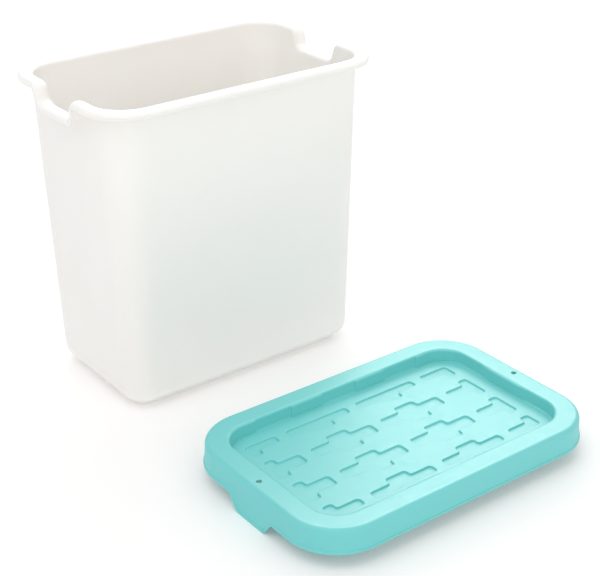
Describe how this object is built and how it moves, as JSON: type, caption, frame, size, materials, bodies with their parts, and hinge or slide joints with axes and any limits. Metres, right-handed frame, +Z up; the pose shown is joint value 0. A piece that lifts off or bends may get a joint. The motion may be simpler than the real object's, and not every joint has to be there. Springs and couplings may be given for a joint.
{
  "type": "lidded waste bin",
  "caption": "Tapered rectangular household bin with a rolled rim, two grip notches and a loose lift-off lid with a recessed, patterned deck and end tabs.",
  "frame": {"origin": "middle of the tub's flat foot, on the floor that both the tub and the lid stand on", "axes": "+Z up out of the tub's mouth, X along the long sides, +Y away from the lid, which lies on the -Y side"},
  "size_m": [0.361, 0.5345, 0.338],
  "materials": {
    "white_plastic": "semi-gloss",
    "turquoise_plastic": "satin"
  },
  "bodies": {
    "tub": {"tub": "white_plastic"},
    "lid": {"lid": "turquoise_plastic"}
  },
  "joints": [
    {"name": "lid_lift", "type": "slide", "parent": "tub", "child": "lid", "axis": [0, 0, 1], "range_m": [0, 0.4]}
  ]
}
